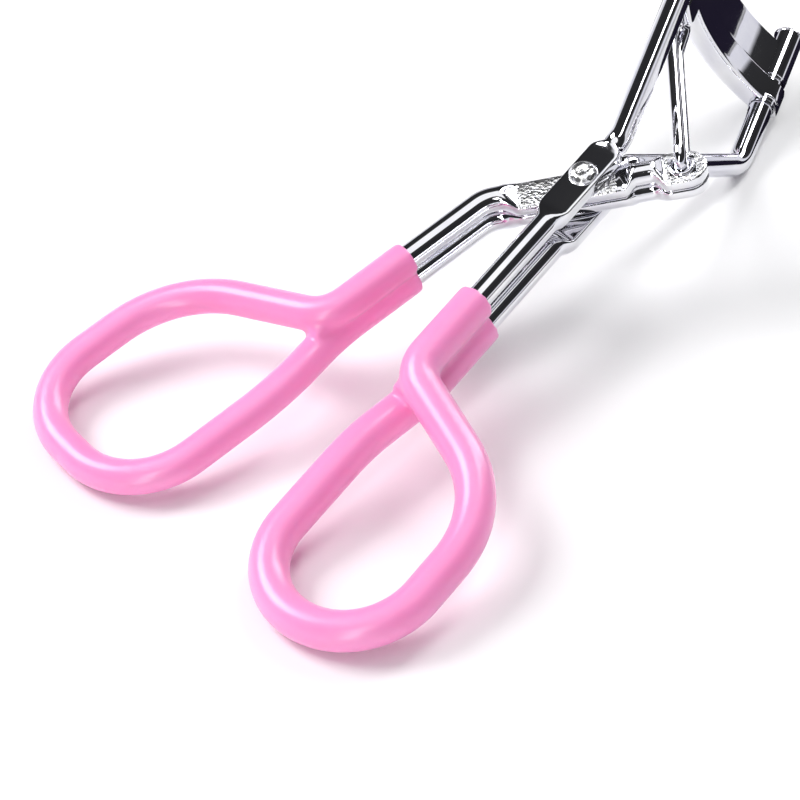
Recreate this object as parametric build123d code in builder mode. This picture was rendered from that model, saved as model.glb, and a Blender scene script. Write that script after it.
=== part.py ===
"""Eyelash curler: two scissor handles bent from wire, a sliding jaw and a fixed jaw.

Everything is drawn in the tool's own frame and stood on the table by the TOOL plane.
In the tool's frame the rivet is the origin, X runs forward to the jaws, Y towards the
lever's handle, and Z along the rivet.  The frame's handle is on the -Y side.
"""
import os
from math import cos, radians, sin

from build123d import *

# ---- driving dimensions, in mm and degrees -------------------------------------------
WIRE_D = 3.0              # main wire of both handles
LEAN = 11.67              # the tool's rise from the finger loops to the jaws
FOOT_X, FOOT_Y = 7.96, -3.33  # the rivet's place over the middle of the footprint
FOOT_Z = 15.27            # the rivet's height over the table

SPREAD = 6.5              # each handle's angle from the tool's middle line
LEVER_SHIFT = 6.9         # the lever's handle stands this far aside of the rivet
FRAME_STACK = 2.2         # height of the frame's two wires above and below the middle
LEVER_STACK = 1.65        # the same for the lever's two wires
FRAME_COAT_D = 4.7        # dipped coat over the frame's finger loop
LEVER_COAT_D = 4.2
COAT_START = 20.4         # bare shank between the rivet and the coat

FORK = 33.0               # where the two wires of a shank part into the loop
LOOP_END = 65.3           # far end of the loop
LOOP_OUT = 18.8           # widest reach of the loop
LOOP_FRONT = 41.9         # start of the widest stretch
LOOP_BACK = 43.0          # where the inner side of the loop straightens
FRAME_BOW = 0.5           # how far the inner side of the loop bows past the shank
LEVER_BOW = 3.3
OUTER_RADII = (4.5, 14.0, 9.6)    # bends of the wire that runs round the outer side
INNER_RADII = (20.0, 30.0, 9.6)   # bends of the wire along the inner side
WEB_W = 2.8               # coat that fills the crease between the two stacked wires

PLATE_T = 1.6             # flattened wire at the rivet
PLATE_W = 4.2
PLATE_CORNER = 0.3        # corner radius of a plate, as a share of its width
PLATE_GAP = 0.1           # running gap between plates of the two handles
INNER_GAP = 0.05          # half the gap between the lever's own two plates
TAPER = 1.8               # length of the change from round wire to plate
TAPER_INSET = 0.05        # how far a taper stays inside the plate it ends in
FRAME_PLATE = (-5.7, 4.4) # reach of the frame's plate behind and before the rivet
LEVER_PLATE = (-8.3, 4.9)
ARM_ANGLE = 41.0          # the lever's working arm, turned from the tool's middle line
ARM_REACH = 11.4          # rivet to link hole
ARM_TIP = 14.4
TIP_PLATE = 8.9           # start of the plate around the link hole
TIP_W = 4.9

RIVET_D = 2.4
RIVET_HEAD_D = 3.5
RIVET_HEAD_H = 0.75
HEAD_EDGE_H = 0.225       # height of the straight edge under the head's dome
HEAD_CROWN = (1.12, 0.19) # a point on the dome: its radius, and its drop from the top
BORE_LENGTH = 20.0        # tool length for the holes through the plates
RUNNING = 0.06            # radial clearance of a turning or sliding fit

GUIDE_ANGLE = 24.2        # direction of the guide rods
GUIDE_START = 23.5        # where the rods begin, measured along the guide direction
GUIDE_END = 45.7
GUIDE_ASIDE = 8.94        # the rods' offset towards the eye
GUIDE_HALF = 19.5         # half the distance between the rods
FIRST_BEND = 6.8          # where the frame's wires turn away from the plates
FIRST_BEND_R = 3.2
BEND_R = 4.0

JAW_R = 32.0              # concave side of the moving jaw
JAW_FACE = 2.6            # offset of the concave side at its middle
JAW_W = 2.8
JAW_BOTTOM = 33.4         # height of the channel's floor along the guides
JAW_TOP = 36.9
SHEET = 0.5
JAW_HALF_ANGLE = 34.0
SLEEVE_T = 0.6
SLEEVE_REACH = (32.4, 36.3)
PAD_HALF_ANGLE = 32.0

FIXED_R = 32.4            # concave side of the fixed jaw
FIXED_T = 0.8
FIXED_REACH = (37.2, 43.2)
FIXED_SLEEVE_T = 0.5
FIXED_SLEEVE_REACH = (37.4, 45.5)

LINK_D = 1.6
LINK_RISE = 2.9           # height of the link's legs over the middle, at the lever
LINK_SPREAD = 3.9         # the same at the link's bend
LINK_BEND = (26.6, 2.0)   # bend of the legs, along the guides and towards the eye
LINK_RADII = (1.3, 2.4, 1.4)      # its bends, from the lever to the jaw
LUG_AXIS = (31.0, 1.7)    # the link's end inside the jaw's lug
LUG_W = 3.0
LUG_WALL = 0.5
LUG_SLOT = (2.0, 2.5)     # opening around the link, along the guides and across
LUG_SLIP = -0.1           # the slot's offset from the link at rest

# ---- the tool's frame ------------------------------------------------------------------
WIRE_R = WIRE_D / 2
TOOL = Plane(
    origin=(FOOT_X, FOOT_Y, FOOT_Z),
    x_dir=(cos(radians(LEAN)), 0, sin(radians(LEAN))),
    z_dir=(-sin(radians(LEAN)), 0, cos(radians(LEAN))),
)


def in_tool(plane):
    """A plane given in the tool's frame, in the row's frame."""
    return Plane(TOOL.location * plane.location)


GUIDE_DIR = Vector(cos(radians(GUIDE_ANGLE)), sin(radians(GUIDE_ANGLE)), 0)
EYE_DIR = Vector(sin(radians(GUIDE_ANGLE)), -cos(radians(GUIDE_ANGLE)), 0)
ACROSS_GUIDES = Plane(origin=(0, 0, 0), x_dir=EYE_DIR, z_dir=GUIDE_DIR)


def guide_point(along, aside, height):
    """A point in the tool's frame from its place along the guides and towards the eye."""
    spot = GUIDE_DIR * along + EYE_DIR * aside
    return (spot.X, spot.Y, height)


def guide_plane(along):
    """A plane square to the guide rods."""
    return in_tool(ACROSS_GUIDES.offset(along))


class Handle:
    """A shank line that runs back and outward, with distances along and beside it."""

    def __init__(self, shift, side):
        self.shift = shift
        self.side = side

    def point(self, along, beside, height):
        turn = radians(SPREAD)
        x = -along * cos(turn) + beside * sin(turn)
        y = self.shift + self.side * (along * sin(turn) + beside * cos(turn))
        return (x, y, height)


FRAME_HANDLE = Handle(0, -1)
LEVER_HANDLE = Handle(LEVER_SHIFT, 1)
FRAME_LINE = Vector(cos(radians(SPREAD)), sin(radians(SPREAD)), 0)
ARM_LINE = Vector(cos(radians(ARM_ANGLE)), -sin(radians(ARM_ANGLE)), 0)


def on_line(direction, along, height):
    return (direction.X * along, direction.Y * along, height)


def outer_half(handle, stack):
    """Corners of the finger loop's outer side, on the upper wire."""
    return [
        handle.point(FORK, 0, stack),
        handle.point(LOOP_FRONT, LOOP_OUT, 0),
        handle.point(LOOP_END, LOOP_OUT, 0),
    ]


def inner_half(handle, stack, bow):
    """Corners of the finger loop's inner side, on the lower wire."""
    return [
        handle.point(FORK, 0, -stack),
        handle.point(LOOP_BACK, -bow, 0),
        handle.point(LOOP_END, -bow, 0),
    ]


def whole_loop(handle, stack, bow):
    """Out on the upper wire, round the loop and back on the lower one."""
    return outer_half(handle, stack) + inner_half(handle, stack, bow)[::-1]


LOOP_RADII = OUTER_RADII + INNER_RADII[::-1]


def round_wire(path, diameter):
    """A round section swept along the path of the current part."""
    with BuildSketch(Plane(origin=path @ 0, z_dir=path % 0)) as section:
        Circle(diameter / 2)
    sweep(section.sketch, path=path)


def plate(direction, start, end, width, centre):
    """A stretch of wire flattened to a plate, with rounded corners."""
    turned = Plane(origin=(0, 0, centre - PLATE_T / 2), x_dir=direction, z_dir=(0, 0, 1))
    with BuildSketch(in_tool(turned)) as outline:
        with Locations(((start + end) / 2, 0)):
            RectangleRounded(end - start, width, width * PLATE_CORNER)
    extrude(outline.sketch, amount=PLATE_T)


def taper(direction, start, end, width, wire_height, plate_height):
    """The change from round wire at start to flat plate at end."""
    sections = []
    for along, flat in ((start, False), (end, True)):
        height = plate_height if flat else wire_height
        square = Plane(
            origin=on_line(direction, along, height),
            x_dir=direction.cross(Vector(0, 0, 1)),
            z_dir=direction,
        )
        with BuildSketch(in_tool(square)) as section:
            if flat:
                Ellipse(width / 2 - TAPER_INSET, PLATE_T / 2)
            else:
                Circle(WIRE_R)
        sections.append(section.sketch)
    loft(sections)


def rivet_hole(radius):
    """A bore on the rivet's axis through everything in the current part."""
    with BuildSketch(in_tool(Plane.XY.offset(-BORE_LENGTH / 2))) as bore:
        Circle(radius)
    extrude(bore.sketch, amount=BORE_LENGTH, mode=Mode.SUBTRACT)


FRAME_PLATE_Z = 1.5 * PLATE_T + INNER_GAP + PLATE_GAP
LEVER_PLATE_Z = PLATE_T / 2 + INNER_GAP
STACK_TOP = FRAME_PLATE_Z + PLATE_T / 2

# ---- frame wire: finger loop, shank, pivot plates and guide rods -----------------------
with BuildPart() as frame_wire:
    plate_back = -FRAME_PLATE[0] + TAPER
    with BuildLine(TOOL) as frame_loop:
        FilletPolyline(
            FRAME_HANDLE.point(plate_back, 0, FRAME_STACK),
            *whole_loop(FRAME_HANDLE, FRAME_STACK, FRAME_BOW),
            FRAME_HANDLE.point(plate_back, 0, -FRAME_STACK),
            radius=LOOP_RADII,
        )
    round_wire(frame_loop.wire(), WIRE_D)
    for up in (1, -1):
        wire_z = up * FRAME_STACK
        plate_z = up * FRAME_PLATE_Z
        back, front = FRAME_PLATE
        plate(FRAME_LINE, back, front, PLATE_W, plate_z)
        taper(FRAME_LINE, back - TAPER, back + TAPER / 2, PLATE_W, wire_z, plate_z)
        taper(FRAME_LINE, front + TAPER / 2, front - TAPER / 2, PLATE_W, wire_z, plate_z)
        with BuildLine(TOOL) as rod:
            FilletPolyline(
                on_line(FRAME_LINE, front + TAPER / 2, wire_z),
                on_line(FRAME_LINE, FIRST_BEND, wire_z),
                guide_point(GUIDE_START, GUIDE_ASIDE, up * GUIDE_HALF),
                guide_point(GUIDE_END, GUIDE_ASIDE, up * GUIDE_HALF),
                radius=(FIRST_BEND_R, BEND_R),
            )
        round_wire(rod.wire(), WIRE_D)
    rivet_hole(RIVET_D / 2)

# ---- lever wire: finger loop, shank, pivot plates and the arm that drives the link -----
SHANK_MEETS_ARM = LEVER_SHIFT / (sin(radians(ARM_ANGLE)) - cos(radians(ARM_ANGLE))
                                 * sin(radians(SPREAD)) / cos(radians(SPREAD)))
with BuildPart() as lever_wire:
    back, front = LEVER_PLATE
    with BuildLine(TOOL) as lever_loop:
        FilletPolyline(
            on_line(ARM_LINE, back - TAPER, LEVER_STACK),
            on_line(ARM_LINE, -SHANK_MEETS_ARM, LEVER_STACK),
            *whole_loop(LEVER_HANDLE, LEVER_STACK, LEVER_BOW),
            on_line(ARM_LINE, -SHANK_MEETS_ARM, -LEVER_STACK),
            on_line(ARM_LINE, back - TAPER, -LEVER_STACK),
            radius=(BEND_R, *LOOP_RADII, BEND_R),
        )
    round_wire(lever_loop.wire(), WIRE_D)
    for up in (1, -1):
        wire_z = up * LEVER_STACK
        plate_z = up * LEVER_PLATE_Z
        plate(ARM_LINE, back, front, PLATE_W, plate_z)
        plate(ARM_LINE, TIP_PLATE, ARM_TIP, TIP_W, plate_z)
        taper(ARM_LINE, back - TAPER, back + TAPER / 2, PLATE_W, wire_z, plate_z)
        neck = (front + TIP_PLATE) / 2
        taper(ARM_LINE, neck, front - TAPER / 2, PLATE_W, wire_z, plate_z)
        taper(ARM_LINE, neck, TIP_PLATE + TAPER / 2, TIP_W, wire_z, plate_z)
    rivet_hole(RIVET_D / 2 + RUNNING)
    link_hole = Plane(origin=on_line(ARM_LINE, ARM_REACH, -BORE_LENGTH / 2))
    with BuildSketch(in_tool(link_hole)):
        Circle(LINK_D / 2 + RUNNING)
    extrude(amount=BORE_LENGTH, mode=Mode.SUBTRACT)


# ---- dipped coats over the loops and the rear of the shanks ------------------------------
def coat(handle, stack, bow, diameter, wire):
    """A soft tube around both wires, with the crease between the stacked wires filled."""
    loop_middle = handle.point(LOOP_END, (LOOP_OUT - bow) / 2, 0)
    halves = (
        (stack, outer_half(handle, stack), OUTER_RADII),
        (-stack, inner_half(handle, stack, bow), INNER_RADII),
    )
    for height, corners, radii in halves:
        with BuildLine(TOOL) as half:
            FilletPolyline(handle.point(COAT_START, 0, height), *corners, loop_middle, radius=radii)
        round_wire(half.wire(), diameter)
    web_line = Vector(*handle.point(FORK + WIRE_D, 0, 0)) - Vector(*handle.point(COAT_START, 0, 0))
    web_end = Plane(origin=handle.point(COAT_START, 0, 0), x_dir=(0, 0, 1), z_dir=web_line)
    with BuildSketch(in_tool(web_end)) as web:
        Rectangle(2 * stack, WEB_W)
    extrude(web.sketch, amount=web_line.length)
    add(wire, mode=Mode.SUBTRACT)


with BuildPart() as frame_grip:
    coat(FRAME_HANDLE, FRAME_STACK, FRAME_BOW, FRAME_COAT_D, frame_wire.part)

with BuildPart() as lever_grip:
    coat(LEVER_HANDLE, LEVER_STACK, LEVER_BOW, LEVER_COAT_D, lever_wire.part)

# ---- rivet: a shank through the four plates, with a domed head at each end ---------------
with BuildPart() as rivet:
    with BuildSketch(in_tool(Plane.XZ)):
        with BuildLine():
            half = STACK_TOP + RIVET_HEAD_H
            Line((0, -half), (0, half))
            for up in (1, -1):
                edge = up * (STACK_TOP + HEAD_EDGE_H)
                crown = (HEAD_CROWN[0], up * (half - HEAD_CROWN[1]))
                ThreePointArc((0, up * half), crown, (RIVET_HEAD_D / 2, edge))
                Line((RIVET_HEAD_D / 2, edge), (RIVET_HEAD_D / 2, up * STACK_TOP))
                Line((RIVET_HEAD_D / 2, up * STACK_TOP), (RIVET_D / 2, up * STACK_TOP))
            Line((RIVET_D / 2, -STACK_TOP), (RIVET_D / 2, STACK_TOP))
        make_face()
    revolve(axis=Axis(TOOL.origin, TOOL.z_dir))

# ---- link: one thin wire from the lever's arm to the jaw's lug --------------------------
with BuildPart() as link:
    with BuildLine(TOOL) as link_line:
        FilletPolyline(
            on_line(ARM_LINE, ARM_REACH, INNER_GAP),
            on_line(ARM_LINE, ARM_REACH, LINK_RISE),
            guide_point(*LINK_BEND, LINK_SPREAD),
            guide_point(*LUG_AXIS, LINK_SPREAD),
            guide_point(*LUG_AXIS, -LINK_SPREAD),
            guide_point(*LINK_BEND, -LINK_SPREAD),
            on_line(ARM_LINE, ARM_REACH, -LINK_RISE),
            on_line(ARM_LINE, ARM_REACH, -INNER_GAP),
            radius=LINK_RADII + LINK_RADII[::-1],
        )
    round_wire(link_line.wire(), LINK_D)


# ---- jaws -----------------------------------------------------------------------------------
def arc_band(along, inner, width, half_angle, height):
    """A curved strip across the guides, standing up along them."""
    with BuildSketch(guide_plane(along)) as band:
        with BuildLine():
            centre = (JAW_FACE + JAW_R, 0)
            near = CenterArc(centre, inner, 180 - half_angle, 2 * half_angle)
            far = CenterArc(centre, inner + width, 180 - half_angle, 2 * half_angle)
            Line(near @ 0, far @ 0)
            Line(near @ 1, far @ 1)
        make_face()
    extrude(band.sketch, amount=height)


def sleeves(reach, outer):
    """Ends of a jaw rolled around both guide rods."""
    with BuildSketch(guide_plane(reach[0])) as rings:
        with Locations((GUIDE_ASIDE, GUIDE_HALF), (GUIDE_ASIDE, -GUIDE_HALF)):
            Circle(outer)
    extrude(rings.sketch, amount=reach[1] - reach[0])


def guide_bores(radius):
    """Holes for the guide rods through everything in the current part."""
    with BuildSketch(guide_plane(GUIDE_START)) as bores:
        with Locations((GUIDE_ASIDE, GUIDE_HALF), (GUIDE_ASIDE, -GUIDE_HALF)):
            Circle(radius)
    extrude(bores.sketch, amount=GUIDE_END, mode=Mode.SUBTRACT)


WALL_H = JAW_TOP - JAW_BOTTOM
with BuildPart() as moving_jaw:
    arc_band(JAW_BOTTOM, JAW_R, JAW_W, JAW_HALF_ANGLE, SHEET)
    arc_band(JAW_BOTTOM, JAW_R, SHEET, JAW_HALF_ANGLE, WALL_H)
    arc_band(JAW_BOTTOM, JAW_R + JAW_W - SHEET, SHEET, JAW_HALF_ANGLE, WALL_H)
    sleeves(SLEEVE_REACH, WIRE_R + RUNNING + SLEEVE_T)
    slot_along, slot_across = LUG_SLOT
    lug_low = LUG_AXIS[0] - slot_along / 2 - LUG_WALL
    with BuildSketch(guide_plane(lug_low)):
        with Locations((LUG_AXIS[1] + LUG_SLIP, 0)):
            Rectangle(slot_across + 2 * LUG_WALL, LUG_W)
    extrude(amount=JAW_BOTTOM - lug_low)
    with BuildSketch(guide_plane(LUG_AXIS[0] - slot_along / 2)):
        with Locations((LUG_AXIS[1] + LUG_SLIP, 0)):
            Rectangle(slot_across, LUG_W)
    extrude(amount=slot_along, mode=Mode.SUBTRACT)
    guide_bores(WIRE_R + RUNNING)

with BuildPart() as jaw_pad:
    arc_band(JAW_BOTTOM + SHEET, JAW_R + SHEET, JAW_W - 2 * SHEET, PAD_HALF_ANGLE, WALL_H - SHEET)

with BuildPart() as fixed_jaw:
    rod_angle = Vector(JAW_FACE + JAW_R - GUIDE_ASIDE, GUIDE_HALF).get_angle(Vector(1, 0))
    fixed_height = FIXED_REACH[1] - FIXED_REACH[0]
    arc_band(FIXED_REACH[0], FIXED_R, FIXED_T, rod_angle, fixed_height)
    sleeves(FIXED_SLEEVE_REACH, WIRE_R + FIXED_SLEEVE_T)
    guide_bores(WIRE_R)

# ---- one file for each piece ---------------------------------------------------------------
os.makedirs("parts", exist_ok=True)
frame_wire.part.label = "frame_wire"
export_step(frame_wire.part, "parts/frame_wire.step")
lever_wire.part.label = "lever_wire"
export_step(lever_wire.part, "parts/lever_wire.step")
frame_grip.part.label = "frame_grip"
export_step(frame_grip.part, "parts/frame_grip.step")
lever_grip.part.label = "lever_grip"
export_step(lever_grip.part, "parts/lever_grip.step")
rivet.part.label = "rivet"
export_step(rivet.part, "parts/rivet.step")
link.part.label = "link"
export_step(link.part, "parts/link.step")
moving_jaw.part.label = "moving_jaw"
export_step(moving_jaw.part, "parts/moving_jaw.step")
jaw_pad.part.label = "jaw_pad"
export_step(jaw_pad.part, "parts/jaw_pad.step")
fixed_jaw.part.label = "fixed_jaw"
export_step(fixed_jaw.part, "parts/fixed_jaw.step")
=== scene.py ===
"""The looks of the eyelash curler: polished bent wire, dipped pink loops and pressed jaws."""
from math import ceil, cos, pi, radians, sin, tan

import bmesh
import bpy
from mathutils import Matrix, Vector


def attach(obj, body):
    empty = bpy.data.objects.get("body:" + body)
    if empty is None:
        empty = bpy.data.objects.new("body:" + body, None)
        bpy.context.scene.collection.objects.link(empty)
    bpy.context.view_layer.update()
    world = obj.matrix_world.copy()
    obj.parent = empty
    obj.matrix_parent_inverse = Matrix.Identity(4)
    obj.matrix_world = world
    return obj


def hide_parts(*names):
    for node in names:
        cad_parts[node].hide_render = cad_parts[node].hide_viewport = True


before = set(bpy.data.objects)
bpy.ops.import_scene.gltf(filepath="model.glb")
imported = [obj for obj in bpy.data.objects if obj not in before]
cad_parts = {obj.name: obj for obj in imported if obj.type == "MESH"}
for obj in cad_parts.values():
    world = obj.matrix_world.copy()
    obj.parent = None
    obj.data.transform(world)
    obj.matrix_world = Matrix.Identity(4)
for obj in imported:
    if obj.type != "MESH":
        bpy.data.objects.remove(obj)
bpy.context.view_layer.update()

MM = 0.001

# ---- the tool's own frame: rivet at the origin, X to the jaws, Z along the rivet -------------
LEAN = radians(11.67)
RIVET_AT = Vector((7.96, -3.33, 15.27))
TOOL_X = Vector((cos(LEAN), 0, sin(LEAN)))
TOOL_Y = Vector((0, 1, 0))
TOOL_Z = Vector((-sin(LEAN), 0, cos(LEAN)))
SPREAD = radians(6.5)
ARM_ANGLE = radians(41.0)
GUIDE_ANGLE = radians(24.2)
FRAME_LINE = Vector((cos(SPREAD), sin(SPREAD), 0))
ARM_LINE = Vector((cos(ARM_ANGLE), -sin(ARM_ANGLE), 0))
GUIDE_DIR = Vector((cos(GUIDE_ANGLE), sin(GUIDE_ANGLE), 0))
EYE_DIR = Vector((sin(GUIDE_ANGLE), -cos(GUIDE_ANGLE), 0))
AHEAD_LINE = Vector((1, 0, 0))
RIVET_LINE = Vector((0, 0, 1))

# ---- sizes of the wires in mm ----------------------------------------------------------------
WIRE_R = 1.5
PATH_STEP = 0.45
FRAME_STACK, LEVER_STACK = 2.2, 1.65
FORK, LOOP_FRONT, LOOP_BACK = 33.0, 41.9, 43.0
LOOP_END, LOOP_OUT = 65.3, 18.8
FRAME_BOW, LEVER_BOW = 0.5, 3.3
LEVER_SHIFT = 6.9
OUTER_RADII = (4.5, 14.0, 9.6)
INNER_RADII = (20.0, 30.0, 9.6)
GUIDE_START, GUIDE_END = 23.5, 45.7
GUIDE_ASIDE, GUIDE_HALF = 8.94, 19.5
FIRST_BEND = 6.8
FIRST_BEND_R, GUIDE_BEND_R, LEVER_BEND_R = 3.2, 4.0, 4.0
ARM_REACH, ARM_TIP = 11.4, 14.4

PLATE_HALF_T, PLATE_HALF_W = 0.8, 2.1
FRAME_PLATE_Z, LEVER_PLATE_Z = 2.55, 0.85
STACK_TOP = FRAME_PLATE_Z + PLATE_HALF_T
# Where along a wire each change of section starts and ends.
FRAME_FLATTENS, FRAME_ROUNDS = (-7.6, -5.5), (4.1, 5.5)
LEVER_FLATTENS, LEVER_ROUNDS = (-10.2, -7.8), (4.4, 5.8)
TIP_FLATTENS = (7.9, 9.4)
TIP_WIDER, TIP_CLOSING, TIP_BLUNT = 0.35, 2.4, 0.06
NECK_R, NECK_DROP = 1.35, 0.15
# Behind this X the lever's wire is its handle, which stays round.
LOOP_SIDE_X = -13

# Squareness of a section: 2 is an ellipse, and a larger number is nearer to a rectangle.
ROUND, WEB_SQUARE, LEVER_SQUARE, FRAME_SQUARE = 2, 3, 6, 10

# Press marks lie in a span along the arm and past a place near its tip, ahead of an X and above
# a Z, and keep off the raised ring.
PRESSED_SPAN, PRESSED_TIP = (-8.0, 3.5), 9.3
PRESSED_X, PRESSED_Z = -9, 1.3
RING_Z, RING_REACH = 1.62, 1.6
RING_SPAN, RING_RADII, RING_EDGE, RING_SINK = (-0.3, 0.28), (0.95, 1.55), 0.26, 0.05

# ---- sizes of the coats, the rivet and the link ----------------------------------------------
FRAME_COAT_R, LEVER_COAT_R = 2.35, 2.1
COAT_START = 20.8
WEB_PAST_FORK, WEB_PART = 2.6, 0.95
MELT_VOXEL = 0.28

RIVET_RISE, RIVET_HEAD_R, RIVET_SHANK_R, RIVET_LIFT = 0.72, 1.75, 1.2, 0.02
# (drop below the top, radius) pairs of the rivet's head, from its middle outward.
RIVET_DIMPLE = ((0.16, 0.0), (0.17, 0.45), (0.05, 0.62))
RIVET_DOME = ((0.0, 0.85), (0.04, 1.1), (0.18, 1.4), (0.36, 1.62), (0.56, 1.74))

LINK_R = 0.8
# Heights in the arm's hole, then guide_point places at the jaw.
LINK_HOOK = (0.05, 2.9)
LINK_KNEE, LINK_END = (26.6, 2.0, 3.9), (31.0, 1.7, 3.9)
LINK_BENDS = (1.3, 2.4, 1.4)

# ---- sizes of the jaws, along the guide rods or out from the centre of their curve -----------
JAW_CENTRE = 29.0
ARC_STEPS, ARC_BLUNT = 80, 0.04
JAW_R, JAW_W, SHEET = 26.4, 3.4, 0.5
JAW_BOTTOM, JAW_TOP = 33.4, 36.9
JAW_HALF_ANGLE, JAW_CLOSING = radians(48.8), radians(3.6)
CHANNEL_BEND, BEND_TURN = 0.7, 15
LIP_PARTS, LIP_DROP = (0, 0.3, 0.7, 1), 0.12

LUG_LOW, LUG_HIGH, LUG_ASIDE = 29.5, JAW_BOTTOM + 0.1, 1.6
LUG_HALF_W, LUG_HALF_H, LUG_CORNER = 1.75, 1.5, 0.5
SLOT_LOW, SLOT_HIGH, SLOT_HALF_W, SLOT_CORNER = 30.0, 32.0, 1.25, 0.3

COLLAR_REACH, COLLAR_RADII = (JAW_BOTTOM - 0.3, JAW_BOTTOM + 0.9), (1.56, 1.95)
SLEEVE_REACH, SLEEVE_RADII = (37.4, 45.5), (1.5, 2.0)
SLEEVE_EDGE = 0.18
FIXED_R, FIXED_T, FIXED_EDGE = 26.8, 0.8, 0.3
FIXED_REACH, FIXED_HALF_ANGLE = (37.2, 43.2), radians(42.0)
CRISP_ANGLE = radians(50)
PAD_PROUD, PAD_EDGE = 0.15, 0.5
PAD_HALF_ANGLE, PAD_CLOSING = radians(39.0), radians(2.0)

# ---- the studio, in metres and watts ---------------------------------------------------------
FLOOR_HALF = 1.6
CARD_NEAR, CARD_FAR, CARD_HALF, CARD_HEIGHT = 0.046, 0.40, 0.30, 0.0004
LIGHT_TARGET = Vector((0, 0, 0.015))
# Grey of the light tent against the height of a direction, 0 at the horizon and 1 overhead.
TENT_BANDS = ((0.0, 0.75), (0.14, 0.70), (0.18, 0.03), (0.55, 0.02), (0.88, 0.03), (0.91, 1.0), (1.0, 1.0))
TENT_BLUE, TENT_STRENGTH = 1.06, 1.35
BACKDROP = (0.93, 0.93, 0.95, 1)
EXPOSURE = -0.22
# The photograph's camera: its place in mm and its directions in the tool's frame, then its lens
# and film in mm and its nearest distance in metres.
CAMERA_AT = Vector((-168.2, -219.8, 306.6))
CAMERA_BACK = Vector((-0.3335, -0.5429, 0.7707))
CAMERA_UP = Vector((0.6372, 0.4727, 0.6087))
FOCAL_LENGTH, SENSOR_WIDTH, CLIP_START = 157.5, 36, 0.01


def to_row(point):
    """A point in the tool's frame, in mm, as metres in the row's frame."""
    spot = RIVET_AT + TOOL_X * point.x + TOOL_Y * point.y + TOOL_Z * point.z
    return spot * MM


def handle_point(shift, side, along, beside, height):
    """A point from its distance back along a handle and outward beside it."""
    x = -along * cos(SPREAD) + beside * sin(SPREAD)
    y = shift + side * (along * sin(SPREAD) + beside * cos(SPREAD))
    return Vector((x, y, height))


def guide_point(along, aside, height):
    """A point from its place along the guide rods and towards the eye."""
    return GUIDE_DIR * along + EYE_DIR * aside + Vector((0, 0, height))


# ---- mesh helpers ----------------------------------------------------------------------------
def mesh_object(name, points, faces, material, body):
    """A smooth-shaded piece from tool-frame points, riding on a body."""
    mesh = bpy.data.meshes.new(name)
    mesh.from_pydata([to_row(p) for p in points], [], faces)
    mesh.validate()
    work = bmesh.new()
    work.from_mesh(mesh)
    bmesh.ops.recalc_face_normals(work, faces=work.faces)
    work.to_mesh(mesh)
    work.free()
    mesh.shade_smooth()
    mesh.materials.append(material)
    piece = bpy.data.objects.new(name, mesh)
    bpy.context.collection.objects.link(piece)
    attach(piece, body)
    return piece


def smooth_step(limits, value):
    """0 below the first limit, 1 above the second, and a smooth rise between them."""
    low, high = limits
    t = min(1.0, max(0.0, (value - low) / (high - low)))
    return t * t * (3 - 2 * t)


def mix(a, b, t):
    """The value a part t of the way from a to b."""
    return a + (b - a) * t


def rounded(corners, radii):
    """A path through corners with a true arc at each inner one, in even steps."""
    path = [corners[0]]
    for before, corner, after, radius in zip(corners, corners[1:], corners[2:], radii):
        back = (before - corner).normalized()
        ahead = (after - corner).normalized()
        half = back.angle(ahead) / 2
        centre = corner + (back + ahead).normalized() * radius / sin(half)
        start = corner + back * radius / tan(half) - centre
        end = corner + ahead * radius / tan(half) - centre
        turn = start.angle(end)
        count = max(3, ceil(radius * turn / PATH_STEP))
        for i in range(count + 1):
            t = i / count
            path.append(centre + (start * sin((1 - t) * turn) + end * sin(t * turn)) / sin(turn))
    path.append(corners[-1])
    even = [path[0]]
    for a, b in zip(path, path[1:]):
        count = max(1, round((b - a).length / PATH_STEP))
        even += [a.lerp(b, (i + 1) / count) for i in range(count)]
    return even


def bridge(rings, sides):
    """The quads between neighbouring rings of points."""
    faces = []
    for i in range(rings - 1):
        for k in range(sides):
            j = (k + 1) % sides
            a, b = i * sides, (i + 1) * sides
            faces.append((a + k, a + j, b + j, b + k))
    return faces


def end_caps(rings, sides):
    """The two faces that close a run of rings."""
    last = (rings - 1) * sides
    return [tuple(range(sides)), tuple(last + k for k in reversed(range(sides)))]


def sweep(path, section, sides):
    """Rings of a section carried along a path, with both ends closed.

    section(point) gives half width, half height, squareness and a shift of the centre.
    """
    # Below this the path runs nearly along Z, and the section keeps its last direction.
    clear_of_z = 0.5
    points = []
    across = None
    for i, point in enumerate(path):
        ahead = (path[min(i + 1, len(path) - 1)] - path[max(i - 1, 0)]).normalized()
        level = ahead.cross(RIVET_LINE)
        if across is None or level.length > clear_of_z:
            across = level.normalized()
            if across.length < clear_of_z:
                across = AHEAD_LINE
        across = (across - ahead * across.dot(ahead)).normalized()
        upward = across.cross(ahead)
        if upward.z < 0 and level.length > clear_of_z:
            upward = -upward
        width, height, square, shift = section(point)
        for k in range(sides):
            angle = 2 * pi * k / sides
            c, s = cos(angle), sin(angle)
            x = width * (abs(c) ** (2 / square)) * (1 if c >= 0 else -1)
            z = height * (abs(s) ** (2 / square)) * (1 if s >= 0 else -1)
            points.append(point + shift + across * x + upward * z)
    return points, bridge(len(path), sides) + end_caps(len(path), sides)


def constant(width, height, square=ROUND):
    """A section for sweep that is the same all along the path."""
    return lambda point: (width, height, square, Vector())


def join(*meshes):
    """Several point and face lists as one."""
    points, faces = [], []
    for more_points, more_faces in meshes:
        first = len(points)
        points += more_points
        faces += [tuple(first + k for k in face) for face in more_faces]
    return points, faces


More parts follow.
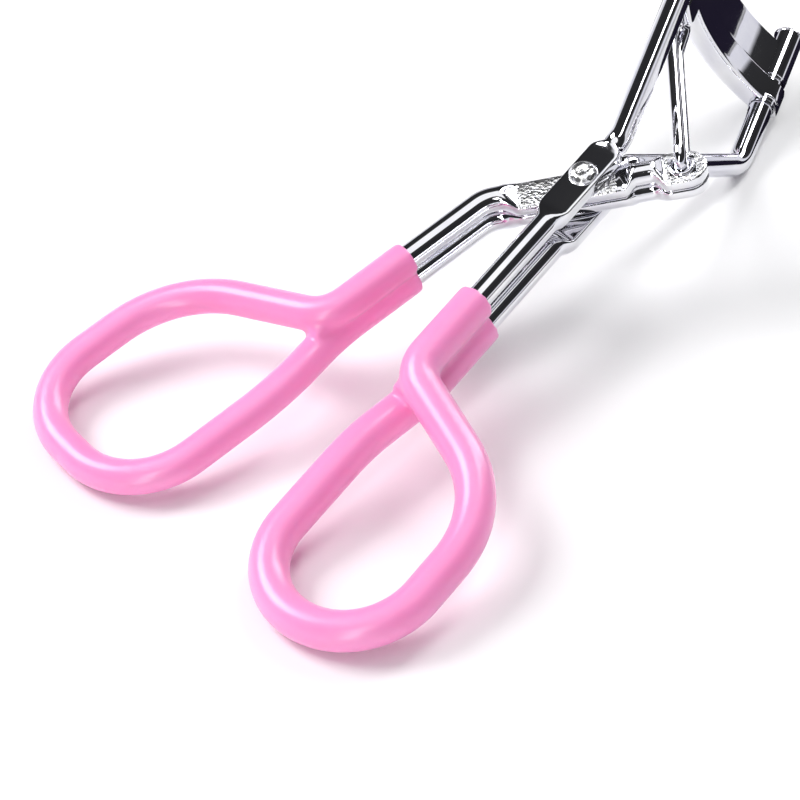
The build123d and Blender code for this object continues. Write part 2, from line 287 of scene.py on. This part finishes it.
def lathe(profile, base, axis, across, sides):
    """A profile of (along, radius) pairs turned about an axis."""
    side = axis.cross(across)
    points = []
    for along, radius in profile:
        for k in range(sides):
            angle = 2 * pi * k / sides
            ray = across * cos(angle) + side * sin(angle)
            points.append(base + axis * along + ray * radius)
    return points, bridge(len(profile), sides)


def closed_lathe(profile, base, axis, across, sides):
    """A closed ring profile turned about an axis, for sleeves."""
    return lathe(profile + profile[:1], base, axis, across, sides)


def nubbed_strip(reach, radii, edge):
    """The outline of a thin strip with a nub at each end, as (along, radial) pairs.

    It was meant as a rounded rectangle, but the corners run one way round and the quarter arcs the
    other, so two opposite corners have each other's arc. The strip comes out thinner than its
    radii, and most outlines made here cross themselves. This is a fault.
    """
    low, high = reach
    inner, outer = radii
    corners = ((high, outer), (high, inner), (low, inner), (low, outer))
    arc_steps = 4
    outline = []
    for quarter, (along, radial) in enumerate(corners):
        middle_along = along - edge if along == high else along + edge
        middle_radial = radial - edge if radial == outer else radial + edge
        for i in range(arc_steps + 1):
            angle = radians(90 - 90 * (quarter + i / arc_steps))
            outline.append((middle_along + edge * sin(angle), middle_radial + edge * cos(angle)))
    return outline


def arc_sweep(outline, half_angle, closing=0.0):
    """An outline of (along, radius) pairs carried round the jaws' arc.

    The section narrows over the last stretch of angle, closing, at both ends.
    """
    middle = sum(radius for along, radius in outline) / len(outline)
    points = []
    for i in range(ARC_STEPS + 1):
        angle = mix(-half_angle, half_angle, i / ARC_STEPS)
        past = max(0.0, abs(angle) - half_angle + closing) / closing if closing else 0.0
        narrow = max(ARC_BLUNT, 1 - past * past) ** 0.5
        for along, full_radius in outline:
            radius = middle + (full_radius - middle) * narrow
            aside = JAW_CENTRE - radius * cos(angle)
            points.append(guide_point(along, aside, radius * sin(angle)))
    rings, sides = ARC_STEPS + 1, len(outline)
    return points, bridge(rings, sides) + end_caps(rings, sides)


# ---- materials -------------------------------------------------------------------------------
RAMP_ENDS = (0.35, 0.65)


def new_material(name, color, metallic, roughness):
    """A material with plain shader values, and the parts that a texture is wired to."""
    material = bpy.data.materials.new(name)
    material.use_nodes = True
    shader = material.node_tree.nodes["Principled BSDF"]
    shader.inputs["Base Color"].default_value = (*color, 1)
    shader.inputs["Metallic"].default_value = metallic
    shader.inputs["Roughness"].default_value = roughness
    return material, material.node_tree.nodes, material.node_tree.links, shader


def texture(nodes, links, kind, scale, **settings):
    """A procedural texture that stays fixed to the piece."""
    place = nodes.new("ShaderNodeTexCoord")
    node = nodes.new(kind)
    node.inputs["Scale"].default_value = scale
    for key, value in settings.items():
        node.inputs[key].default_value = value
    links.new(place.outputs["Object"], node.inputs["Vector"])
    return node


def ramp_between(nodes, links, source, low, high):
    """A ramp from one colour to another, driven by a texture's value."""
    ramp = nodes.new("ShaderNodeValToRGB")
    for element, at, color in zip(ramp.color_ramp.elements, RAMP_ENDS, (low, high)):
        element.position = at
        element.color = (*color, 1)
    links.new(source, ramp.inputs["Fac"])
    return ramp.outputs["Color"]


def spread(nodes, links, source, low, high):
    """A texture's value spread over a small range."""
    remap = nodes.new("ShaderNodeMapRange")
    remap.inputs["To Min"].default_value = low
    remap.inputs["To Max"].default_value = high
    links.new(source, remap.inputs["Value"])
    return remap.outputs["Result"]


def add_bump(nodes, links, shader, source, distance, strength):
    """Small relief from a texture's value, with its height in metres."""
    bump = nodes.new("ShaderNodeBump")
    bump.inputs["Distance"].default_value = distance
    bump.inputs["Strength"].default_value = strength
    links.new(source, bump.inputs["Height"])
    links.new(bump.outputs["Normal"], shader.inputs["Normal"])


def chrome_plating(name, ripple=0.000012):
    """Bright plating with a faint lavender cast, uneven polish and slight ripple."""
    material, nodes, links, shader = new_material(name, (0.85, 0.85, 0.89), 1.0, 0.06)
    cloud = texture(nodes, links, "ShaderNodeTexNoise", 180, Detail=4.0)
    tone = ramp_between(nodes, links, cloud.outputs["Fac"], (0.74, 0.74, 0.80), (0.84, 0.84, 0.86))
    links.new(tone, shader.inputs["Base Color"])
    polish = texture(nodes, links, "ShaderNodeTexNoise", 900, Detail=5.0)
    links.new(spread(nodes, links, polish.outputs["Fac"], 0.02, 0.08), shader.inputs["Roughness"])
    wave = texture(nodes, links, "ShaderNodeTexNoise", 260, Detail=2.0)
    add_bump(nodes, links, shader, wave.outputs["Fac"], ripple, 0.6)
    return material


def hammered_plating(name, scale=2400, depth=0.00009):
    """Plating over press marks: small facets that sparkle."""
    material, nodes, links, shader = new_material(name, (0.87, 0.87, 0.9), 1.0, 0.1)
    facets = texture(nodes, links, "ShaderNodeTexVoronoi", scale)
    tone = ramp_between(nodes, links, facets.outputs["Distance"], (0.84, 0.84, 0.88), (0.97, 0.97, 0.97))
    links.new(tone, shader.inputs["Base Color"])
    polish = texture(nodes, links, "ShaderNodeTexNoise", 1100, Detail=4.0)
    links.new(spread(nodes, links, polish.outputs["Fac"], 0.16, 0.34), shader.inputs["Roughness"])
    add_bump(nodes, links, shader, facets.outputs["Distance"], depth, 0.9)
    return material


def dipped_vinyl(name):
    """Glossy pink vinyl that lets a little light through, with a faint dipped unevenness."""
    material, nodes, links, shader = new_material(name, (1.0, 0.31, 0.62), 0.0, 0.4)
    cloud = texture(nodes, links, "ShaderNodeTexNoise", 70, Detail=3.0)
    tone = ramp_between(nodes, links, cloud.outputs["Fac"], (1.0, 0.30, 0.61), (1.0, 0.335, 0.65))
    links.new(tone, shader.inputs["Base Color"])
    shader.inputs["Subsurface Weight"].default_value = 0.3
    shader.inputs["Subsurface Radius"].default_value = (1.0, 0.4, 0.6)
    shader.inputs["Subsurface Scale"].default_value = 0.0012
    shader.inputs["Coat Weight"].default_value = 0.4
    shader.inputs["Coat Roughness"].default_value = 0.22
    gloss = texture(nodes, links, "ShaderNodeTexNoise", 420, Detail=3.0)
    links.new(spread(nodes, links, gloss.outputs["Fac"], 0.27, 0.39), shader.inputs["Roughness"])
    wave = texture(nodes, links, "ShaderNodeTexNoise", 130, Detail=2.0)
    add_bump(nodes, links, shader, wave.outputs["Fac"], 0.00004, 0.3)
    return material


def silicone(name):
    """Matt pink silicone, faintly mottled."""
    material, nodes, links, shader = new_material(name, (0.9, 0.3, 0.5), 0.0, 0.5)
    cloud = texture(nodes, links, "ShaderNodeTexNoise", 400, Detail=4.0)
    tone = ramp_between(nodes, links, cloud.outputs["Fac"], (0.85, 0.27, 0.47), (0.92, 0.33, 0.53))
    links.new(tone, shader.inputs["Base Color"])
    links.new(spread(nodes, links, cloud.outputs["Fac"], 0.42, 0.6), shader.inputs["Roughness"])
    add_bump(nodes, links, shader, cloud.outputs["Fac"], 0.00004, 0.4)
    return material


CHROME = chrome_plating("polished_wire")
SHEET_CHROME = chrome_plating("pressed_sheet", ripple=0.00002)
HAMMERED = hammered_plating("hammered_plate")
RIVET_CHROME = hammered_plating("rivet_head", 1500, 0.00012)
VINYL = dipped_vinyl("dipped_vinyl")
SILICONE = silicone("silicone_pad")


# ---- wires -----------------------------------------------------------------------------------
def loop_corners(shift, side, stack, bow):
    """The finger loop's corners: out on the upper wire, back on the lower one."""
    def at(along, beside, height):
        return handle_point(shift, side, along, beside, height)
    return [
        at(FORK, 0, stack), at(LOOP_FRONT, LOOP_OUT, 0), at(LOOP_END, LOOP_OUT, 0),
        at(LOOP_END, -bow, 0), at(LOOP_BACK, -bow, 0), at(FORK, 0, -stack),
    ]


def frame_section(point):
    """Round wire that flattens to a plate around the rivet."""
    along = point.dot(FRAME_LINE)
    flat = smooth_step(FRAME_FLATTENS, along) * (1 - smooth_step(FRAME_ROUNDS, along))
    side = 1 if point.z > 0 else -1
    lift = side * (FRAME_PLATE_Z - FRAME_STACK) * flat
    width, height = mix(WIRE_R, PLATE_HALF_W, flat), mix(WIRE_R, PLATE_HALF_T, flat)
    return width, height, mix(ROUND, FRAME_SQUARE, flat), Vector((0, 0, lift))


def frame_path():
    """From the upper rod's tip, round the finger loop and back to the lower rod's tip."""
    def end(up):
        return [
            guide_point(GUIDE_END, GUIDE_ASIDE, up * GUIDE_HALF),
            guide_point(GUIDE_START, GUIDE_ASIDE, up * GUIDE_HALF),
            FRAME_LINE * FIRST_BEND + Vector((0, 0, up * FRAME_STACK)),
        ]
    corners = end(1) + loop_corners(0, -1, FRAME_STACK, FRAME_BOW) + end(-1)[::-1]
    radii = (GUIDE_BEND_R, FIRST_BEND_R, *OUTER_RADII, *INNER_RADII[::-1], FIRST_BEND_R, GUIDE_BEND_R)
    return rounded(corners, radii)


def lever_section(point):
    """Round wire with a long plate at the rivet, a neck, and a plate around the link's hole."""
    along = point.dot(ARM_LINE)
    near = 1 if point.x > LOOP_SIDE_X else 0
    plate = near * smooth_step(LEVER_FLATTENS, along) * (1 - smooth_step(LEVER_ROUNDS, along))
    tip = near * smooth_step(TIP_FLATTENS, along)
    flat = max(plate, tip)
    side = 1 if point.z > 0 else -1
    lift = side * (LEVER_PLATE_Z - LEVER_STACK) * flat
    end = max(0.0, (along - ARM_TIP + TIP_CLOSING) / TIP_CLOSING)
    close = max(TIP_BLUNT, 1 - end * end) ** 0.5 if near and end > 0 else 1.0
    neck = near * smooth_step(LEVER_ROUNDS, along) * (1 - tip)
    wire_r = mix(WIRE_R, NECK_R, neck)
    width = mix(wire_r, PLATE_HALF_W + TIP_WIDER * tip, flat) * close
    height = mix(wire_r, PLATE_HALF_T, flat)
    neck_lift = -side * NECK_DROP * neck
    return width, height, mix(ROUND, LEVER_SQUARE, flat), Vector((0, 0, lift + neck_lift))


def lever_path():
    """From the upper plate's tip, round the finger loop and back to the lower plate's tip."""
    meet = LEVER_SHIFT / (sin(ARM_ANGLE) - cos(ARM_ANGLE) * tan(SPREAD))
    def end(up):
        height = Vector((0, 0, up * LEVER_STACK))
        return [ARM_LINE * ARM_TIP + height, ARM_LINE * -meet + height]
    corners = end(1) + loop_corners(LEVER_SHIFT, 1, LEVER_STACK, LEVER_BOW) + end(-1)[::-1]
    radii = (LEVER_BEND_R, *OUTER_RADII, *INNER_RADII[::-1], LEVER_BEND_R)
    return rounded(corners, radii)


def hammer_upper_plates(piece):
    """Gives the top faces of the lever's pivot plate and tip plate their press marks."""
    piece.data.materials.append(HAMMERED)
    for face in piece.data.polygons:
        centre = face.center / MM - RIVET_AT
        x, y, height = (centre.dot(axis) for axis in (TOOL_X, TOOL_Y, TOOL_Z))
        along = x * ARM_LINE.x + y * ARM_LINE.y
        from_hole = (Vector((x, y, 0)) - ARM_LINE * ARM_REACH).length
        on_plate = PRESSED_SPAN[0] < along < PRESSED_SPAN[1] or along > PRESSED_TIP
        off_ring = height < RING_Z or from_hole > RING_REACH
        if on_plate and off_ring and height > PRESSED_Z and x > PRESSED_X:
            face.material_index = 1


def hole_rim():
    """The raised ring pressed up round the link's hole, on both outer faces."""
    outline = nubbed_strip(RING_SPAN, RING_RADII, RING_EDGE)
    rims = []
    for up in (1, -1):
        face_z = up * (LEVER_PLATE_Z + PLATE_HALF_T - RING_SINK)
        base = ARM_LINE * ARM_REACH + Vector((0, 0, face_z))
        rims.append(closed_lathe(outline, base, RIVET_LINE, AHEAD_LINE, sides=32))
    return join(*rims)


def make_wires():
    """Both bent wires, the lever's with the rings round the link's hole."""
    frame_mesh = sweep(frame_path(), frame_section, sides=36)
    frame_wire = mesh_object("frame_wire_form", *frame_mesh, CHROME, "frame")
    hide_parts("frame_wire")
    lever_mesh = join(sweep(lever_path(), lever_section, sides=36), hole_rim())
    lever_wire = mesh_object("lever_wire_form", *lever_mesh, CHROME, "lever")
    hammer_upper_plates(lever_wire)
    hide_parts("lever_wire")


# ---- dipped coats ----------------------------------------------------------------------------
def make_coat(name, node, body, shift, side, stack, bow, radius):
    """A tube on the looped wire and the filled crease of its shank, melted into one skin."""
    def shank_point(along, height):
        return handle_point(shift, side, along, 0, height)
    corners = loop_corners(shift, side, stack, bow)
    ends = shank_point(COAT_START, stack), shank_point(COAT_START, -stack)
    path = rounded([ends[0], *corners, ends[1]], OUTER_RADII + INNER_RADII[::-1])
    tube = sweep(path, constant(radius, radius), sides=32)
    web_path = rounded([shank_point(COAT_START, 0), shank_point(FORK + WEB_PAST_FORK, 0)], ())
    web = sweep(web_path, constant(WIRE_R * WEB_PART, stack, WEB_SQUARE), sides=24)
    piece = mesh_object(name, *join(tube, web), VINYL, body)
    melt = piece.modifiers.new("melt", "REMESH")
    melt.mode = "VOXEL"
    melt.voxel_size = MELT_VOXEL * MM
    melt.use_smooth_shade = True
    soften = piece.modifiers.new("soften", "SMOOTH")
    soften.iterations = 12
    soften.factor = 0.5
    graph = bpy.context.evaluated_depsgraph_get()
    skin = bpy.data.meshes.new_from_object(piece.evaluated_get(graph))
    piece.modifiers.clear()
    piece.data = skin
    piece.data.shade_smooth()
    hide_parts(node)


# ---- rivet and link --------------------------------------------------------------------------
def make_rivet():
    """Two domed heads with a pressed ring, on a plain shank."""
    top = STACK_TOP + RIVET_RISE
    half = [(top - drop, radius) for drop, radius in RIVET_DIMPLE + RIVET_DOME]
    half += [(STACK_TOP + RIVET_LIFT, RIVET_HEAD_R), (STACK_TOP, RIVET_SHANK_R)]
    profile = half + [(-along, radius) for along, radius in half[::-1]]
    rivet_mesh = lathe(profile, Vector(), RIVET_LINE, AHEAD_LINE, sides=48)
    rivet = mesh_object("rivet_form", *rivet_mesh, RIVET_CHROME, "frame")
    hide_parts("rivet")


def make_link():
    """The thin wire from the arm's hole, out along both legs and through the jaw's lug."""
    hole = ARM_LINE * ARM_REACH
    half = [hole + Vector((0, 0, height)) for height in LINK_HOOK]
    half += [guide_point(*LINK_KNEE), guide_point(*LINK_END)]
    mirrored = [Vector((p.x, p.y, -p.z)) for p in half[::-1]]
    path = rounded(half + mirrored, LINK_BENDS + LINK_BENDS[::-1])
    link_mesh = sweep(path, constant(LINK_R, LINK_R), sides=20)
    link = mesh_object("link_form", *link_mesh, CHROME, "link")
    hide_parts("link")


# ---- jaws ------------------------------------------------------------------------------------
def sleeve_pair(reach, radii):
    """Rolled ends around both guide rods."""
    outline = nubbed_strip(reach, radii, SLEEVE_EDGE)
    pair = []
    for up in (1, -1):
        base = guide_point(0, GUIDE_ASIDE, up * GUIDE_HALF)
        pair.append(closed_lathe(outline, base, GUIDE_DIR, EYE_DIR, sides=40))
    return join(*pair)


def lip(radii):
    """The top edge of one wall of the channel, a little lower at its two corners."""
    corners = (radii[0], radii[-1])
    return [(JAW_TOP - (LIP_DROP if radius in corners else 0), radius) for radius in radii]


def channel_outline():
    """A U section, open to the fixed jaw, with rounded outer corners."""
    inner, outer = JAW_R, JAW_R + JAW_W
    turns = [radians(angle) for angle in range(0, 91, BEND_TURN)]
    bend = CHANNEL_BEND
    outline = [(JAW_BOTTOM + bend - bend * sin(t), inner + bend - bend * cos(t)) for t in turns]
    outline += [(JAW_BOTTOM + bend - bend * cos(t), outer - bend + bend * sin(t)) for t in turns]
    outline += lip([outer - SHEET * part for part in LIP_PARTS])
    outline += [(JAW_BOTTOM + SHEET, outer - SHEET), (JAW_BOTTOM + SHEET, inner + SHEET)]
    outline += lip([inner + SHEET * part for part in LIP_PARTS[::-1]])
    return outline


def tab_ring(low, high, wide, corner):
    """A rectangle of (along, beside) pairs with its two lower corners cut."""
    return [(low + corner, -wide), (low, -wide + corner), (low, wide - corner), (low + corner, wide),
            (high, wide), (high, -wide)]


def lug():
    """The folded tab that holds the link's end, with its slot left open."""
    outer = tab_ring(LUG_LOW, LUG_HIGH, LUG_HALF_W, LUG_CORNER)
    inner = tab_ring(SLOT_LOW, SLOT_HIGH, SLOT_HALF_W, SLOT_CORNER)
    points, faces = [], []
    for height in (LUG_HALF_H, -LUG_HALF_H):
        for ring in (outer, inner):
            points += [guide_point(along, LUG_ASIDE + beside, height) for along, beside in ring]
    count = len(outer)
    top_out, top_in, low_out, low_in = 0, count, 2 * count, 3 * count
    for k in range(count):
        j = (k + 1) % count
        faces.append((top_out + k, top_out + j, top_in + j, top_in + k))
        faces.append((low_out + j, low_out + k, low_in + k, low_in + j))
        faces.append((top_out + j, top_out + k, low_out + k, low_out + j))
        faces.append((top_in + k, top_in + j, low_in + j, low_in + k))
    return points, faces


def make_jaws():
    """The sliding channel with its collars and lug, the fixed plate on its sleeves, and the pad."""
    channel = arc_sweep(channel_outline(), JAW_HALF_ANGLE, JAW_CLOSING)
    moving_mesh = join(channel, sleeve_pair(COLLAR_REACH, COLLAR_RADII), lug())
    moving = mesh_object("moving_jaw_form", *moving_mesh, SHEET_CHROME, "jaw")
    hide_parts("moving_jaw")
    plate_outline = nubbed_strip(FIXED_REACH, (FIXED_R, FIXED_R + FIXED_T), FIXED_EDGE)
    fixed_mesh = join(arc_sweep(plate_outline, FIXED_HALF_ANGLE), sleeve_pair(SLEEVE_REACH, SLEEVE_RADII))
    fixed = mesh_object("fixed_jaw_form", *fixed_mesh, SHEET_CHROME, "frame")
    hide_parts("fixed_jaw")
    for piece in (moving, fixed):
        edges = piece.modifiers.new("crisp_edges", "EDGE_SPLIT")
        edges.split_angle = CRISP_ANGLE
    pad_reach = (JAW_BOTTOM + SHEET, JAW_TOP + PAD_PROUD)
    pad_outline = nubbed_strip(pad_reach, (JAW_R + SHEET, JAW_R + JAW_W - SHEET), PAD_EDGE)
    pad_mesh = arc_sweep(pad_outline, PAD_HALF_ANGLE, PAD_CLOSING)
    pad = mesh_object("jaw_pad_form", *pad_mesh, SILICONE, "jaw")
    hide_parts("jaw_pad")


# ---- floor, light and camera -----------------------------------------------------------------
def table_sheet(name, near, far, half, height, material):
    """A flat rectangle level with the table, in metres."""
    mesh = bpy.data.meshes.new(name)
    corners = [(near, -half, height), (far, -half, height), (far, half, height), (near, half, height)]
    mesh.from_pydata(corners, [], [(0, 1, 2, 3)])
    mesh.materials.append(material)
    sheet = bpy.data.objects.new(name, mesh)
    bpy.context.collection.objects.link(sheet)
    return sheet


def make_floor():
    """The pale table."""
    material = new_material("pale_floor", (0.93, 0.93, 0.94), 0.0, 0.55)[0]
    floor = table_sheet("floor", -FLOOR_HALF, FLOOR_HALF, FLOOR_HALF, 0, material)


def make_dark_card():
    """A black card on the table past the jaws, seen only in reflections."""
    material = new_material("black_card", (0.012, 0.010, 0.02), 0.0, 0.8)[0]
    shader = material.node_tree.nodes["Principled BSDF"]
    shader.inputs["Specular IOR Level"].default_value = 0.0
    card = table_sheet("dark_card", CARD_NEAR, CARD_FAR, CARD_HALF, CARD_HEIGHT, material)
    card.visible_camera = False
    card.visible_diffuse = False
    card.visible_shadow = False
    card.visible_transmission = False


def soft_light(name, place, size, power):
    """A rectangular lamp turned towards the tool."""
    light = bpy.data.lights.new(name, "AREA")
    light.shape = "RECTANGLE"
    light.size, light.size_y = size
    light.energy = power
    lamp = bpy.data.objects.new(name, light)
    bpy.context.collection.objects.link(lamp)
    lamp.location = place
    lamp.rotation_euler = (LIGHT_TARGET - Vector(place)).to_track_quat("-Z", "Y").to_euler()


def make_light():
    """A light tent that the camera sees as a plain backdrop, and three lamps.

    The tent is white overhead and pale low down, with a dark band between for the chrome.
    """
    world = bpy.data.worlds.new("studio")
    bpy.context.scene.world = world
    world.use_nodes = True
    nodes, links = world.node_tree.nodes, world.node_tree.links
    tent = nodes["Background"]
    place = nodes.new("ShaderNodeTexCoord")
    height = nodes.new("ShaderNodeSeparateXYZ")
    bands = nodes.new("ShaderNodeValToRGB")
    links.new(place.outputs["Generated"], height.inputs["Vector"])
    links.new(height.outputs["Z"], bands.inputs["Fac"])
    links.new(bands.outputs["Color"], tent.inputs["Color"])
    ramp = bands.color_ramp
    while len(ramp.elements) < len(TENT_BANDS):
        ramp.elements.new(0.5)
    for element, (at, grey) in zip(ramp.elements, TENT_BANDS):
        element.position = at
        element.color = (grey, grey, min(1.0, grey * TENT_BLUE), 1)
    tent.inputs["Strength"].default_value = TENT_STRENGTH
    backdrop = nodes.new("ShaderNodeBackground")
    backdrop.inputs["Color"].default_value = BACKDROP
    seen = nodes.new("ShaderNodeLightPath")
    choose = nodes.new("ShaderNodeMixShader")
    links.new(seen.outputs["Is Camera Ray"], choose.inputs["Fac"])
    links.new(tent.outputs["Background"], choose.inputs[1])
    links.new(backdrop.outputs["Background"], choose.inputs[2])
    links.new(choose.outputs["Shader"], nodes["World Output"].inputs["Surface"])
    soft_light("key", place=(-0.21, 0.43, 0.49), size=(0.36, 0.32), power=4.2)
    soft_light("fill", place=(0.40, 0.05, 0.30), size=(0.14, 0.5), power=1.9)
    soft_light("front", place=(-0.42, -0.25, 0.22), size=(0.08, 0.5), power=1.3)


def make_camera():
    """The camera of the photograph, turned from the tool's frame into the row's."""
    right = CAMERA_UP.cross(CAMERA_BACK)
    turned = [TOOL_X * v.x + TOOL_Y * v.y + TOOL_Z * v.z for v in (right, CAMERA_UP, CAMERA_BACK)]
    lens = bpy.data.cameras.new("camera")
    lens.sensor_width = SENSOR_WIDTH
    lens.lens = FOCAL_LENGTH
    lens.clip_start = CLIP_START
    camera = bpy.data.objects.new("camera", lens)
    bpy.context.collection.objects.link(camera)
    matrix = camera.matrix_world.copy()
    for column, axis in enumerate((*turned, to_row(CAMERA_AT))):
        for row in range(3):
            matrix[row][column] = axis[row]
    camera.matrix_world = matrix
    bpy.context.scene.camera = camera


make_wires()
make_coat("frame_grip_form", "frame_grip", "frame", 0, -1, FRAME_STACK, FRAME_BOW, FRAME_COAT_R)
make_coat("lever_grip_form", "lever_grip", "lever", LEVER_SHIFT, 1, LEVER_STACK, LEVER_BOW, LEVER_COAT_R)
make_rivet()
make_link()
make_jaws()
make_floor()
make_dark_card()
make_light()
make_camera()
bpy.context.scene.view_settings.view_transform = "Standard"
bpy.context.scene.view_settings.exposure = EXPOSURE
